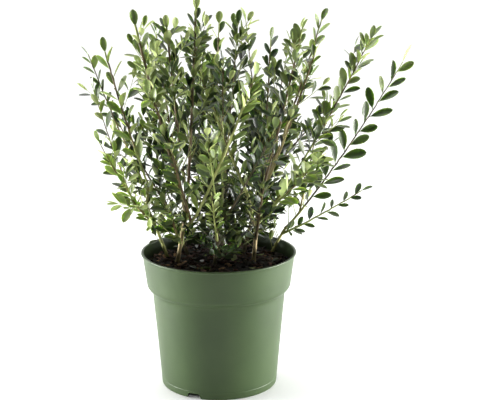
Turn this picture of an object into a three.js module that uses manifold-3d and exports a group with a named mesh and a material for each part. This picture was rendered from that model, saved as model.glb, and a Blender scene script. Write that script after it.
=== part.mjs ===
import * as THREE from 'three';
import { mergeVertices } from 'three/addons/utils/BufferGeometryUtils.js';
import Module from 'manifold-3d';

// A young Japanese holly in a round green nursery pot.
// Eight thin stems rise from one root, fork low down and carry slender leafy shoots,
// which fan out into a loose upright crown, wider than the pot and open between its shoots.
// Lengths are in millimetres, with +Z up. The origin is the centre of the pad under the pot.
// The plant is seen from the front along +Y, with +X to the right.

// Driving sizes of the pot
const rim_radius = 95;
const pot_height = 167.4;
const collar_depth = 43;
const collar_foot_radius = 87.9;
const collar_step_height = 4.5;
const body_top_radius = 81.7;
const foot_radius = 71.2;
const wall = 1.6;
const lip_width = 1.4;
const lip_depth = 3.2;
const edge_round = 1.4;
const foot_ring_height = 7.6;
const foot_ring_width = 4.6;
const floor_thickness = 1.8;
const centre_pad_radius = 19;
const pot_sides = 40;

// Notches in the foot ring, and drain holes in the floor
const notch_count = 3;
const first_notch_angle = -116;
const notch_mouth = 19;
const notch_top = 14;
const notch_height = 6.4;
const notch_depth = 18.4;
const cut_clearance = 1;
const drain_hole_count = 4;
const drain_hole_radius = 5;
const drain_hole_circle = 46;
const drain_hole_sides = 8;

// Driving sizes of the soil and of the seats between pieces
const seat_gap = 0.3;
const tip_overlap = 1;
const soil_level = 152;
const soil_edge_drop = 2.5;
const soil_edge_width = 6;
const soil_sides = 32;

// How far outwards and upwards a limb's middle point lies on the way to its tip
const limb_sweep = { outward: 0.52, upward: 0.45 };
const stem_sweep = { outward: 0.42, upward: 0.5 };
const stem_sides = 7;
const stem_steps = 4;
const bough_sides = 6;
const bough_steps = 3;

// Driving sizes of a foliage mass: its leader, its twigs and its leaves
const leader_steps = 5;
const leader_share = 0.92;
const leader_taper = 0.6;
const first_twig_share = 0.1;
const last_twig_share = 0.78;
const twig_spacing = 32;
const twig_angle = 40;
const twig_length = 52;
const twig_tip_share = 0.5;
const twig_rise = 0.22;
const twig_share = 0.46;
const twig_parts = [1, 0.7, 0.45];
const leaf_length = 25;
const leaf_width = 12.5;
const leaf_thickness = 1;
const leaf_widest_at = 0.56;
const leaf_sky_share = 0.6;
const leaf_spacing = 24;
const leaf_angle = 44;
const end_leaf_angle = 14;
const leader_end_share = 0.98;
const twig_end_share = 0.88;
const leaf_apart = 5;
const twig_apart = 2;
const leaf_parts = [1, 1, 0.66, 0.66];
const leaf_size_range = [0.85, 1.1];
const lean_range = [0.8, 1.2];
const twig_reach_range = [0.8, 1.2];
const twig_start_spread = 0.3;
const golden_angle = 137.5;
const least_edge = 0.012;
const space_margin = 1.6;
const lowest_leaf = pot_height + 4;
const upwards = new THREE.Vector3(0, 0, 1);

// Stems: foot on the soil, tip, and radius at foot and tip, besides the flare at the root
const root_flare = 0.7;
const flare_height = 7;
const stems = [
  { name: 'stem_left', foot: [-52, -7], tip: [-41, -14, 207], radii: [2.8, 2.5] },
  { name: 'stem_outer_left', foot: [-61, 21], tip: [-88, 10, 222], radii: [2.2, 1.9] },
  { name: 'stem_inner_left', foot: [-36, 34], tip: [-74, 62, 229], radii: [2.3, 1.7] },
  { name: 'stem_centre', foot: [-6, -14], tip: [2, -24, 216], radii: [2.2, 1.8] },
  { name: 'stem_back', foot: [2, 30], tip: [-12, 58, 232], radii: [2.5, 2.0] },
  { name: 'stem_back_right', foot: [30, 42], tip: [52, 74, 226], radii: [2.4, 1.9] },
  { name: 'stem_right', foot: [42, 2], tip: [48, 0, 210], radii: [2.8, 2.6] },
  { name: 'stem_low_right', foot: [62, 36], tip: [84, 38, 186], radii: [2.1, 1.8] },
];

// Boughs: the limb that carries each, how far up it they leave, their tip and their radii
const boughs = [
  { name: 'bough_left_leader', from: 'stem_left', at: 1, tip: [-36, -18, 256], radii: [2.5, 2.3] },
  { name: 'bough_front_left', from: 'stem_left', at: 0.84, tip: [-26, -38, 222], radii: [2.0, 1.8] },
  { name: 'bough_far_left', from: 'stem_outer_left', at: 1, tip: [-85, 4, 250], radii: [1.8, 1.6] },
  { name: 'bough_low_left', from: 'stem_outer_left', at: 0.82, tip: [-102, -4, 226], radii: [1.5, 1.3] },
  { name: 'bough_centre', from: 'stem_centre', at: 1, tip: [6, -20, 250], radii: [1.7, 1.5] },
  { name: 'bough_back', from: 'stem_back', at: 1, tip: [-15, 76, 262], radii: [1.8, 1.5] },
  { name: 'bough_back_right', from: 'stem_back_right', at: 1, tip: [60, 90, 258], radii: [1.7, 1.4] },
  { name: 'bough_right_leader', from: 'stem_right', at: 1, tip: [56, -4, 256], radii: [2.5, 2.2] },
  { name: 'bough_right', from: 'stem_right', at: 0.86, tip: [76, -9, 240], radii: [2.0, 1.7] },
  { name: 'bough_crossing', from: 'stem_right', at: 0.7, tip: [36, 17, 234], radii: [1.9, 1.7] },
  { name: 'bough_low_right', from: 'stem_low_right', at: 1, tip: [108, 40, 214], radii: [1.7, 1.5] },
];

// Foliage masses: the limb that carries each, how far up it they start, and their leader's tip
const masses = [
  { name: 'foliage_left_leader', from: 'bough_left_leader', at: 1, tip: [-25, -5, 462] },
  { name: 'foliage_left_crossing', from: 'bough_left_leader', at: 0.62, tip: [-58, -44, 444] },
  { name: 'foliage_left_outer', from: 'bough_left_leader', at: 0.4, tip: [-93, -60, 449] },
  { name: 'foliage_left_upper', from: 'bough_left_leader', at: 0.24, tip: [-74, 34, 428] },
  { name: 'foliage_front_left', from: 'bough_front_left', at: 1, tip: [42, -88, 396] },
  { name: 'foliage_front_far_left', from: 'bough_front_left', at: 0.6, tip: [-58, -132, 348] },
  { name: 'foliage_far_left', from: 'bough_far_left', at: 1, tip: [-131, -22, 414] },
  { name: 'foliage_far_left_top', from: 'bough_far_left', at: 0.7, tip: [-158, 54, 402] },
  { name: 'foliage_far_left_low', from: 'bough_low_left', at: 1, tip: [-150, 22, 363] },
  { name: 'foliage_low_left', from: 'bough_low_left', at: 0.6, tip: [-139, -40, 311] },
  { name: 'foliage_low_front_left', from: 'stem_outer_left', at: 0.66, tip: [-102, -64, 250] },
  { name: 'foliage_inner_left', from: 'stem_inner_left', at: 1, tip: [-86, 108, 384] },
  { name: 'foliage_low_back_left', from: 'stem_inner_left', at: 0.8, tip: [-128, 112, 308] },
  { name: 'foliage_centre', from: 'bough_centre', at: 1, tip: [24, -8, 446] },
  { name: 'foliage_centre_front', from: 'bough_centre', at: 0.6, tip: [6, -72, 410] },
  { name: 'foliage_front', from: 'stem_centre', at: 0.9, tip: [-12, -136, 336] },
  { name: 'foliage_front_right', from: 'stem_centre', at: 0.8, tip: [62, -138, 344] },
  { name: 'foliage_low_front', from: 'stem_centre', at: 0.56, tip: [-8, -92, 262] },
  { name: 'foliage_low_front_right', from: 'stem_right', at: 0.56, tip: [52, -84, 270] },
  { name: 'foliage_back', from: 'bough_back', at: 1, tip: [-26, 114, 420] },
  { name: 'foliage_back_left', from: 'bough_back', at: 0.7, tip: [-82, 152, 374] },
  { name: 'foliage_low_back', from: 'bough_back', at: 0.4, tip: [-22, 168, 334] },
  { name: 'foliage_back_centre', from: 'stem_back', at: 0.86, tip: [2, 54, 440] },
  { name: 'foliage_back_right', from: 'bough_back_right', at: 1, tip: [91, 120, 408] },
  { name: 'foliage_back_middle', from: 'bough_back_right', at: 0.7, tip: [36, 120, 436] },
  { name: 'foliage_far_back_right', from: 'bough_back_right', at: 0.4, tip: [152, 128, 340] },
  { name: 'foliage_right_leader', from: 'bough_right_leader', at: 1, tip: [99, -8, 438] },
  { name: 'foliage_right_top', from: 'bough_right_leader', at: 0.78, tip: [125, 28, 446] },
  { name: 'foliage_right_front', from: 'bough_right_leader', at: 0.7, tip: [113, -60, 424] },
  { name: 'foliage_right_back', from: 'bough_right_leader', at: 0.5, tip: [66, 74, 418] },
  { name: 'foliage_right', from: 'bough_right', at: 1, tip: [178, -28, 430] },
  { name: 'foliage_low_right_front', from: 'bough_right', at: 0.6, tip: [115, -72, 296] },
  { name: 'foliage_crossing', from: 'bough_crossing', at: 1, tip: [-22, 34, 384] },
  { name: 'foliage_far_right', from: 'bough_low_right', at: 1, tip: [226, 42, 393] },
  { name: 'foliage_far_right_back', from: 'bough_low_right', at: 0.7, tip: [128, 78, 322] },
  { name: 'foliage_low_right', from: 'stem_low_right', at: 0.8, tip: [174, 0, 242] },
  { name: 'foliage_low_centre', from: 'stem_back', at: 0.55, tip: [20, 34, 236] },
  { name: 'foliage_low_back_right', from: 'stem_back_right', at: 0.5, tip: [84, 72, 226] },
  { name: 'foliage_low_inner', from: 'stem_left', at: 0.56, tip: [-58, -62, 236] },
];

const colours = {
  pot: 0x4f6446,
  soil: 0x2c211b,
  bark: 0x7d7250,
  young_bark: 0x86904f,
  foliage: [0x5f7c48, 0x557344, 0x6b8a4e, 0x4c6a41],
};
const roughness = { pot: 0.45, soil: 0.95, bark: 0.85, young_bark: 0.8, foliage: 0.6 };

const wasm = await Module();
wasm.setup();

// A repeatable stream of numbers from 0 to 1, and one of them stretched over a range
function seeded(seed) {
  let state = seed * 7919 + 104729;
  const next = () => {
    state = (state * 16807) % 2147483647;
    return state / 2147483647;
  };
  next();
  next();
  return next;
}

function between(range, mass) {
  return THREE.MathUtils.lerp(...range, mass.random());
}

function radians(degrees) {
  return THREE.MathUtils.degToRad(degrees);
}

function vector(numbers) {
  return new THREE.Vector3(...numbers);
}

// Joins and cuts work on closed solids with shared corners
function toSolid(geometry) {
  const bare = new THREE.BufferGeometry();
  bare.setAttribute('position', geometry.getAttribute('position').clone());
  if (geometry.index) {
    bare.setIndex(geometry.index.clone());
  }
  const merged = mergeVertices(bare, 1e-4);
  const vertProperties = Float32Array.from(merged.getAttribute('position').array);
  const triVerts = Uint32Array.from(merged.index.array);
  return new wasm.Manifold(new wasm.Mesh({ numProp: 3, vertProperties, triVerts }));
}

function toGeometry(solid) {
  const mesh = solid.getMesh();
  const geometry = new THREE.BufferGeometry();
  geometry.setAttribute('position', new THREE.BufferAttribute(mesh.vertProperties, 3));
  geometry.setIndex(new THREE.BufferAttribute(mesh.triVerts, 1));
  geometry.computeVertexNormals();
  return geometry;
}

function place(name, geometry, color, kind) {
  const material = new THREE.MeshStandardMaterial({ color, roughness: roughness[kind], metalness: 0 });
  const mesh = new THREE.Mesh(geometry, material);
  mesh.name = name;
  return mesh;
}

// Pot: a tapering body under a wider collar, on a foot ring with a raised floor inside it
function bodyRadius(height) {
  const share = height / (pot_height - collar_depth - collar_step_height);
  return foot_radius + (body_top_radius - foot_radius) * share;
}

function collarRadius(height) {
  const share = (height - pot_height + collar_depth) / collar_depth;
  return collar_foot_radius + (rim_radius - lip_width - collar_foot_radius) * share;
}

const collar_foot = pot_height - collar_depth;
const body_top = collar_foot - collar_step_height;
const floor_top = foot_ring_height + floor_thickness;

function potInside(height) {
  if (height >= collar_foot) {
    return collarRadius(height) - wall;
  }
  if (height <= body_top) {
    return bodyRadius(height) - wall;
  }
  const share = (height - body_top) / collar_step_height;
  return THREE.MathUtils.lerp(bodyRadius(body_top), collarRadius(collar_foot), share) - wall;
}

function makePot() {
  const ring_inside = foot_radius - foot_ring_width;
  const profile = [
    [0, 0],
    [centre_pad_radius, 0],
    [centre_pad_radius + edge_round, foot_ring_height],
    [ring_inside - edge_round, foot_ring_height],
    [ring_inside, 0],
    [foot_radius - edge_round, 0],
    [foot_radius, edge_round],
    [body_top_radius, body_top],
    [collar_foot_radius - edge_round, collar_foot - edge_round],
    [collar_foot_radius, collar_foot],
    [collarRadius(pot_height - lip_depth), pot_height - lip_depth],
    [rim_radius, pot_height - lip_depth + lip_width],
    [rim_radius, pot_height - lip_width / 2],
    [rim_radius - lip_width / 2, pot_height],
    [rim_radius - lip_width - wall, pot_height],
    [potInside(collar_foot), collar_foot],
    [potInside(body_top), body_top],
    [potInside(floor_top), floor_top],
    [0, floor_top],
  ];
  const points = profile.map(([radius, height]) => new THREE.Vector2(radius, height));
  const turned = new THREE.LatheGeometry(points, pot_sides);
  turned.rotateX(Math.PI / 2);
  let pot = toSolid(turned);

  const notch = new THREE.Shape();
  notch.moveTo(-notch_mouth / 2, -cut_clearance);
  notch.lineTo(notch_mouth / 2, -cut_clearance);
  notch.lineTo(notch_mouth / 2, 0);
  notch.lineTo(notch_top / 2, notch_height);
  notch.lineTo(-notch_top / 2, notch_height);
  notch.lineTo(-notch_mouth / 2, 0);
  for (let index = 0; index < notch_count; index += 1) {
    const cutter = new THREE.ExtrudeGeometry(notch, { depth: notch_depth, bevelEnabled: false });
    cutter.rotateX(Math.PI / 2);
    cutter.translate(0, foot_radius + notch_depth / 2, 0);
    cutter.rotateZ(radians(first_notch_angle - 90 + (index * 360) / notch_count));
    pot = pot.subtract(toSolid(cutter));
  }

  for (let index = 0; index < drain_hole_count; index += 1) {
    const height = floor_thickness + 2 * cut_clearance;
    const drill = new THREE.CylinderGeometry(drain_hole_radius, drain_hole_radius, height, drain_hole_sides);
    drill.rotateX(Math.PI / 2);
    drill.translate(drain_hole_circle, 0, foot_ring_height + floor_thickness / 2);
    drill.rotateZ(radians((index * 360) / drain_hole_count));
    pot = pot.subtract(toSolid(drill));
  }
  return place('pot', toGeometry(pot), colours.pot, 'pot');
}

// Soil: fills the pot just clear of its wall, level where the stems stand
function makeSoil() {
  const heights = [floor_top + seat_gap, body_top, collar_foot, soil_level - soil_edge_drop];
  const clear = 2 * seat_gap;
  const points = heights.map((height) => new THREE.Vector2(potInside(height) - clear, height));
  const inner_edge = potInside(soil_level) - clear - soil_edge_width;
  points.unshift(new THREE.Vector2(0, floor_top + seat_gap));
  points.push(new THREE.Vector2(inner_edge, soil_level));
  points.push(new THREE.Vector2(0, soil_level));
  const soil = new THREE.LatheGeometry(points, soil_sides);
  soil.rotateX(Math.PI / 2);
  return place('soil', toGeometry(toSolid(soil)), colours.soil, 'soil');
}

// A path is a chain of short straight stretches through a few points of a curve
function curvedPath(start, middle, tip, steps) {
  const curve = new THREE.QuadraticBezierCurve3(start, middle, tip);
  const steady = middle.clone().sub(start).cross(tip.clone().sub(start)).normalize();
  return { points: curve.getPoints(steps), steady, length: curve.getLength() };
}

function straightPath(start, tip, carrier_direction) {
  const steady = tip.clone().sub(start).cross(carrier_direction).normalize();
  return { points: [start, tip], steady, length: start.distanceTo(tip) };
}

// A limb leaves its start outwards and sweeps up to its tip; a stem rises nearly straight
function sweep(start, tip, { outward, upward }, steps) {
  const span = tip.clone().sub(start);
  const middle = start.clone().add(new THREE.Vector3(span.x * outward, span.y * outward, span.z * upward));
  return curvedPath(start, middle, tip, steps);
}

function stretchOf(path, share) {
  return Math.min(Math.floor(share * (path.points.length - 1)), path.points.length - 2);
}

function pointOn(path, share) {
  const stretch = stretchOf(path, share);
  const rest = share * (path.points.length - 1) - stretch;
  return path.points[stretch].clone().lerp(path.points[stretch + 1], rest);
}

function directionBetween(path, first, last) {
  return path.points[last].clone().sub(path.points[first]).normalize();
}

function directionOn(path, share) {
  const stretch = stretchOf(path, share);
  return directionBetween(path, stretch, stretch + 1);
}

// Distance from a point to a path
const nearest = new THREE.Vector3();
const stretch_line = new THREE.Line3();

function distanceTo(path, point) {
  let least = Infinity;
  for (let index = 1; index < path.points.length; index += 1) {
    stretch_line.set(path.points[index - 1], path.points[index]);
    stretch_line.closestPointToPoint(point, true, nearest);
    least = Math.min(least, nearest.distanceTo(point));
  }
  return least;
}

// Bends a straight upright bar of unit size along a path, ring by ring
function bend(bar, path, radiusAt) {
  const last = path.points.length - 1;
  const position = bar.getAttribute('position');
  for (let index = 0; index < position.count; index += 1) {
    const share = THREE.MathUtils.clamp(position.getY(index) + 0.5, 0, 1);
    const ring = Math.round(share * last);
    const along = directionBetween(path, Math.max(ring - 1, 0), Math.min(ring + 1, last));
    const across = along.clone().cross(path.steady).normalize();
    const point = path.points[ring].clone();
    point.addScaledVector(across, position.getX(index) * radiusAt(share));
    point.addScaledVector(path.steady, position.getZ(index) * radiusAt(share));
    position.setXYZ(index, point.x, point.y, point.z);
  }
  return bar;
}

// A limb, or the same limb made longer at its tip and thicker, to cut its neighbours clear
function limbSolid(limb, longer, thicker) {
  const last = limb.path.points.length - 1;
  const points = [...limb.path.points];
  points[last] = points[last].clone().addScaledVector(directionOn(limb.path, 1), longer);
  const bar = new THREE.CylinderGeometry(1, 1, 1, limb.sides, last);
  return toSolid(bend(bar, { ...limb.path, points }, (share) => limb.radiusAt(share) + thicker));
}

// Stems: bare woody shoots with a root flare, from a flat cut at the soil up to their tip
function makeStem(stem) {
  const foot = new THREE.Vector3(stem.foot[0], stem.foot[1], soil_level - flare_height);
  const path = sweep(foot, vector(stem.tip), stem_sweep, stem_steps);
  const [foot_size, tip_size] = stem.radii;
  const radiusAt = (share) => {
    const taper = THREE.MathUtils.lerp(foot_size, tip_size, share);
    return taper + root_flare * Math.exp(1 - (share * path.length) / flare_height);
  };
  return { name: stem.name, path, radiusAt, sides: stem_sides };
}

function cutAtSoil(solid) {
  const below = new THREE.BoxGeometry(2 * rim_radius, 2 * rim_radius, 2 * flare_height);
  below.translate(0, 0, soil_level + seat_gap - flare_height);
  return solid.subtract(toSolid(below));
}

// A limb starts on the middle line of the one that carries it, a little below its tip
// where it grows on from that tip, and is then cut clear of it
function startOn(parent, at) {
  const start = pointOn(parent.path, at);
  if (at === 1) {
    start.addScaledVector(directionOn(parent.path, 1), -tip_overlap);
  }
  return start;
}

function clearOf(solid, parent) {
  return solid.subtract(limbSolid(parent, seat_gap, seat_gap / Math.cos(Math.PI / parent.sides)));
}

// The largest closed shell of a solid, without loose scraps and sealed hollows
function largestShell(solid) {
  const pieces = solid.decompose();
  pieces.sort((one, other) => other.volume() - one.volume());
  return pieces[0];
}

function makeBough(bough, limbs) {
  const parent = limbs.get(bough.from);
  const path = sweep(startOn(parent, bough.at), vector(bough.tip), limb_sweep, bough_steps);
  const [foot_size, tip_size] = bough.radii;
  const radiusAt = (share) => THREE.MathUtils.lerp(foot_size, tip_size, share);
  return { name: bough.name, parent, path, radiusAt, sides: bough_sides };
}

// The shortest edge of a solid: joins that would leave slivers are not made
function shortestEdge(solid) {
  const { vertProperties, triVerts } = solid.getMesh();
  const corner = (index) => new THREE.Vector3().fromArray(vertProperties, 3 * triVerts[index]);
  let least = Infinity;
  for (let first = 0; first < triVerts.length; first += 3) {
    const [a, b, c] = [corner(first), corner(first + 1), corner(first + 2)];
    least = Math.min(least, a.distanceTo(b), b.distanceTo(c), c.distanceTo(a));
  }
  return least;
}

function joinTo(mass, piece) {
  const joined = mass.solid.add(toSolid(piece));
  if (shortestEdge(joined) < least_edge) {
    return false;
  }
  mass.solid = joined;
  return true;
}

// A mass starts as one bare leader, cut clear of its limb, which its twigs and leaves stand on
function startMass(mass, index, limbs) {
  const parent = limbs.get(mass.from);
  const path = sweep(startOn(parent, mass.at), vector(mass.tip), limb_sweep, leader_steps);
  const radius = parent.radiusAt(mass.at) * leader_share;
  const bar = new THREE.CylinderGeometry(1, 1, 1, 3, leader_steps);
  const leader = toSolid(bend(bar, path, (share) => radius * (1 - leader_taper * share)));
  return {
    name: mass.name,
    path,
    radius,
    solid: largestShell(clearOf(leader, parent)),
    random: seeded(index + 1),
    turn: 0,
    twigs: [],
    ribs: [],
  };
}

// A mass keeps to the points that lie nearer to its own leader than to any other, clear of limbs
function inOwnSpace(points, mass, all_masses, all_limbs) {
  return points.every((point) => {
    const own = distanceTo(mass.path, point);
    return (
      point.z > lowest_leaf
      && all_limbs.every((limb) => distanceTo(limb.path, point) > limb.radiusAt(1) + space_margin)
      && all_masses.every((other) => other === mass || distanceTo(other.path, point) > own + space_margin)
    );
  });
}

// A direction that leans away from a path at a share of it, turned round it
function leaning(path, share, turn, lean) {
  const along = directionOn(path, share);
  const across = along.clone().cross(path.steady).normalize();
  const outward = across.multiplyScalar(Math.cos(turn)).addScaledVector(path.steady, Math.sin(turn));
  return along.multiplyScalar(Math.cos(lean)).addScaledVector(outward, Math.sin(lean));
}

// A leaf: root in the twig, broadest past its middle, its upper side turned to the tip and the sky
function leafOn(path, share, turn, lean, size) {
  const root = pointOn(path, share);
  const heading = leaning(path, share, turn, lean);
  const face = directionOn(path, share).add(upwards.clone().multiplyScalar(leaf_sky_share));
  face.addScaledVector(heading, -face.dot(heading)).normalize();
  const side = heading.clone().cross(face);
  const length = leaf_length * size;
  const half_width = (leaf_width / 2) * size;

  const blade = new THREE.OctahedronGeometry(1);
  const position = blade.getAttribute('position');
  for (let index = 0; index < position.count; index += 1) {
    const end = position.getY(index);
    const reach = Math.abs(end) < 0.5 ? leaf_widest_at : (end + 1) / 2;
    position.setY(index, reach * length);
  }
  blade.applyMatrix4(new THREE.Matrix4().makeScale(half_width, 1, leaf_thickness / 2));
  blade.applyMatrix4(new THREE.Matrix4().makeBasis(side, heading, face).setPosition(root));

  const middle = root.clone().addScaledVector(heading, length * leaf_widest_at);
  const edge = [
    root.clone().addScaledVector(heading, length),
    middle.clone().addScaledVector(side, half_width),
    middle.clone().addScaledVector(side, -half_width),
    root.clone().lerp(middle, 0.5),
  ];
  return { blade, edge, rib: { points: [root, edge[0]] } };
}

// Leaves of one mass stay apart from each other and from its other twigs
function clearOfOthers(leaf, path, mass) {
  const meets = (other, distance) => leaf.edge.some((point) => distanceTo(other, point) < distance);
  const meets_twig = [mass.path, ...mass.twigs].some((other) => other !== path && meets(other, twig_apart));
  return !meets_twig && !mass.ribs.some((rib) => {
    return meets(rib, leaf_apart) || rib.points.some((point) => distanceTo(leaf.rib, point) < leaf_apart);
  });
}

function addLeaf(mass, path, share, lean, fits) {
  const full_size = between(leaf_size_range, mass);
  const tilt = radians(lean * between(lean_range, mass));
  for (const part of leaf_parts) {
    mass.turn += golden_angle;
    const leaf = leafOn(path, share, radians(mass.turn), tilt, full_size * part);
    if (fits(leaf.edge) && clearOfOthers(leaf, path, mass) && joinTo(mass, leaf.blade)) {
      mass.ribs.push(leaf.rib);
      return;
    }
  }
}

// A twig: straight, leaning away from the leader and lifted to the light
function addTwig(mass, share, fits) {
  mass.turn += golden_angle;
  const direction = leaning(mass.path, share, radians(mass.turn), radians(twig_angle));
  const start = pointOn(mass.path, share);
  const full_reach = twig_length * (1 - twig_tip_share * share) * between(twig_reach_range, mass);
  for (const part of twig_parts) {
    const reach = full_reach * part;
    const tip = start.clone().addScaledVector(direction, reach).addScaledVector(upwards, reach * twig_rise);
    const middle = start.clone().lerp(tip, 0.5);
    const path = straightPath(start, tip, directionOn(mass.path, share));
    const cone = new THREE.ConeGeometry(1, 1, 3, 1);
    const radius = mass.radius * (1 - leader_taper * share) * twig_share;
    if (fits([middle, tip]) && joinTo(mass, bend(cone, path, () => radius))) {
      mass.twigs.push(path);
      return;
    }
  }
}

// Leaves along a path, the last one in line with its end
function addLeaves(mass, path, last_share, fits) {
  addLeaf(mass, path, last_share, end_leaf_angle, fits);
  const leaf_count = Math.round(path.length / leaf_spacing);
  for (let leaf = 1; leaf < leaf_count; leaf += 1) {
    addLeaf(mass, path, leaf / leaf_count, leaf_angle, fits);
  }
}

function growMass(mass, all_masses, all_limbs) {
  const fits = (points) => inOwnSpace(points, mass, all_masses, all_limbs);
  const twig_count = Math.round(mass.path.length / twig_spacing);
  for (let twig = 0; twig < twig_count; twig += 1) {
    const step = (twig + twig_start_spread * mass.random()) / twig_count;
    addTwig(mass, first_twig_share + last_twig_share * step, fits);
  }
  addLeaves(mass, mass.path, leader_end_share, fits);
  for (const twig of mass.twigs) {
    addLeaves(mass, twig, twig_end_share, fits);
  }
  return largestShell(mass.solid);
}

const plant = new THREE.Group();
plant.name = 'potted_shrub';
plant.add(makePot());
plant.add(makeSoil());

const limbs = new Map();
for (const stem of stems) {
  const limb = makeStem(stem);
  limbs.set(limb.name, limb);
  plant.add(place(limb.name, toGeometry(cutAtSoil(limbSolid(limb, 0, 0))), colours.bark, 'bark'));
}
for (const bough of boughs) {
  const limb = makeBough(bough, limbs);
  limbs.set(limb.name, limb);
  const solid = largestShell(clearOf(limbSolid(limb, 0, 0), limb.parent));
  plant.add(place(limb.name, toGeometry(solid), colours.young_bark, 'young_bark'));
}

const bare_masses = masses.map((mass, index) => startMass(mass, index, limbs));
bare_masses.forEach((mass, index) => {
  const solid = growMass(mass, bare_masses, [...limbs.values()]);
  const colour = colours.foliage[index % colours.foliage.length];
  plant.add(place(mass.name, toGeometry(solid), colour, 'foliage'));
});

export default plant;
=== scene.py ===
import random
from itertools import pairwise
from math import cos, exp, hypot, radians, sin, sqrt, tau
from types import SimpleNamespace as Record

import bmesh
import bpy
import numpy as np
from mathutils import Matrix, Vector, noise


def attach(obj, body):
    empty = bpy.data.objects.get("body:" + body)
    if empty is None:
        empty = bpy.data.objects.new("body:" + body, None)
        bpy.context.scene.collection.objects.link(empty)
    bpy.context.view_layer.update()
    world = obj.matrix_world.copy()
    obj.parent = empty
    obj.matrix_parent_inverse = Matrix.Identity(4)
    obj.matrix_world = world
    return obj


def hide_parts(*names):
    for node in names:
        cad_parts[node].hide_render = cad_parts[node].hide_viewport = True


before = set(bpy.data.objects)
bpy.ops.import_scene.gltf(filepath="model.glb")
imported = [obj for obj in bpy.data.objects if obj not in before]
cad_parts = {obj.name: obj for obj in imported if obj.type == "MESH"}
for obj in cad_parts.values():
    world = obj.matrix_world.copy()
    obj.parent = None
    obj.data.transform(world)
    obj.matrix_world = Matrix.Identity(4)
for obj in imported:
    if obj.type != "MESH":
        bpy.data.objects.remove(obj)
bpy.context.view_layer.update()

# A young Japanese holly in a round green nursery pot.
# Lengths are in millimetres up to the point where a mesh is made, which is in metres.
MM = 0.001
UP = Vector((0, 0, 1))
FRONT = Vector((0, -1, 0))

# Pot
RIM_RADIUS = 95
POT_HEIGHT = 167.4
COLLAR_DEPTH = 43
COLLAR_FOOT_RADIUS = 87.9
COLLAR_STEP_HEIGHT = 4.5
BODY_TOP_RADIUS = 81.7
FOOT_RADIUS = 71.2
WALL = 1.6
LIP_WIDTH = 1.4
LIP_DEPTH = 3.2
FOOT_RING_HEIGHT = 7.6
FOOT_RING_WIDTH = 4.6
FLOOR_THICKNESS = 1.8
CENTRE_PAD_RADIUS = 19
SEAM = Record(height=9.6, depth=0.3, below=1.2, half=0.5, lip=0.1)
FLOOR_DRAFT = 1.4
POT_SIDES = 144
NOTCHES = Record(count=3, first=-116, mouth=19, top=14, height=6.4, depth=18.4, below=1)
DRAIN_HOLES = Record(count=4, radius=5, circle=46, sides=20, below=2, depth=8)
SHARP_EDGE = 38

# Potting mix
SOIL_LEVEL = 152
SOIL_RINGS = 26
SOIL_SIDES = 96
SOIL_CROWN = 1.2
SOIL_RELIEF = 2.6
SOIL_WAVES = ((0.035, 0.8), (0.16, 0.55), (0.5, 0.3))
SOIL_EDGE = Record(gap=0.7, drop=2.2, width=8, skirt=1.5, depth=4)
CHIP_COUNT = 620
FLAKES = Record(share=0.75, length=(4, 12), width=(0.25, 0.6))
SPLINTERS = Record(length=(10, 22), width=(2.4, 5.5))
CHIP_THICKNESS = (0.9, 2.4)
CHIP_LIFT = (-0.4, 1.2)
CHIP_EDGE_GAP = 1.5
CHIP_SLANT = 0.28
CHIP_ROLL = 0.35
CHIP_ENDS = (-1, -0.35, 0.35, 1)
CHIP_END_WIDTH = (0.35, 0.8)
CHIP_SWAY = 0.12
CHIP_JITTER = (0.75, 1.2)
CHIP_MIX = (6, 4, 3, 0.5)
FALLEN_LEAVES = Record(
    count=16, radius=(18, 72), slant=(-0.1, 0.3), length=(11, 17), width=0.23,
    lift=2.6, face_up=0.6, cup=(0.1, 0.5), bend=(0, 0.2),
)

# What each kind of draw starts from, and the rule for the draws that the solids use too
SEEDS = Record(chips=31, fallen=77, fine_twigs=100, leaves=500, tubes=900)
SEED_GAP, FIRST_SEED = 7919, 104729
MULTIPLIER, MODULUS = 16807, 2147483647

# Growth rule, the same as in the solids
LIMB_SWEEP = (0.52, 0.45)
STEM_SWEEP = (0.42, 0.5)
STEM_STEPS = 4
BOUGH_STEPS = 3
LEADER_STEPS = 5
LEADER_SHARE = 0.92
LEADER_TAPER = 0.6
FIRST_TWIG_SHARE = 0.1
LAST_TWIG_SHARE = 0.78
TWIG_SPACING = 32
TWIG_ANGLE = 40
TWIG_LENGTH = 52
TWIG_TIP_SHARE = 0.5
TWIG_RISE = 0.22
TWIG_SHARE = 0.46
TWIG_PARTS = (1, 0.7, 0.45)
TWIG_REACH_RANGE = (0.8, 1.2)
TWIG_START_SPREAD = 0.3
TWIG_BOW = 0.05
TWIG_SAG = 0.04
TIP_OVERLAP = 1
SPACE_MARGIN = 1.6
LOWEST_LEAF = POT_HEIGHT + 4
INSIDE_RIM = RIM_RADIUS - 9
LOWEST_INSIDE_RIM = SOIL_LEVEL + 7
GOLDEN_ANGLE = 137.5
SLIMNESS = 0.9
ROOT_FLARE = 0.7
FLARE_HEIGHT = 7
LENGTH_STEPS = 100

# Finer growth, which the solids leave out
KEPT_TWIGS = 0.4
FINE_TWIGS = Record(first=0.04, last=0.92, spacing=24, reach=(0.42, 0.8), angle=(24, 40), girth=0.9)
SIDE_TWIGS = Record(shares=(0.3, 0.58), taper=0.6, reach=(0.4, 0.62), shortest=9, angle=(32, 48), girth=0.8)

# Where leaves stand
LEAF_SPACING = {"leader": 8, "twig": 8.2, "limb": 9}
BARE_FOOT = 5
LAST_LEAF_SHARE = 0.97
LEAF_START_SPREAD = 0.3
END_LEAF_SHARE = 0.99
LONG_LEADER = 150
CLEAN_SHARE = 0.3
CLEAN_UP_TO = 0.6
LEAF_APART = 4.8
OWN_SPACE_MARGIN = -3
SHOWN_SPACE_MARGIN = -16
LIMB_MARGIN = 0.4

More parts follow.
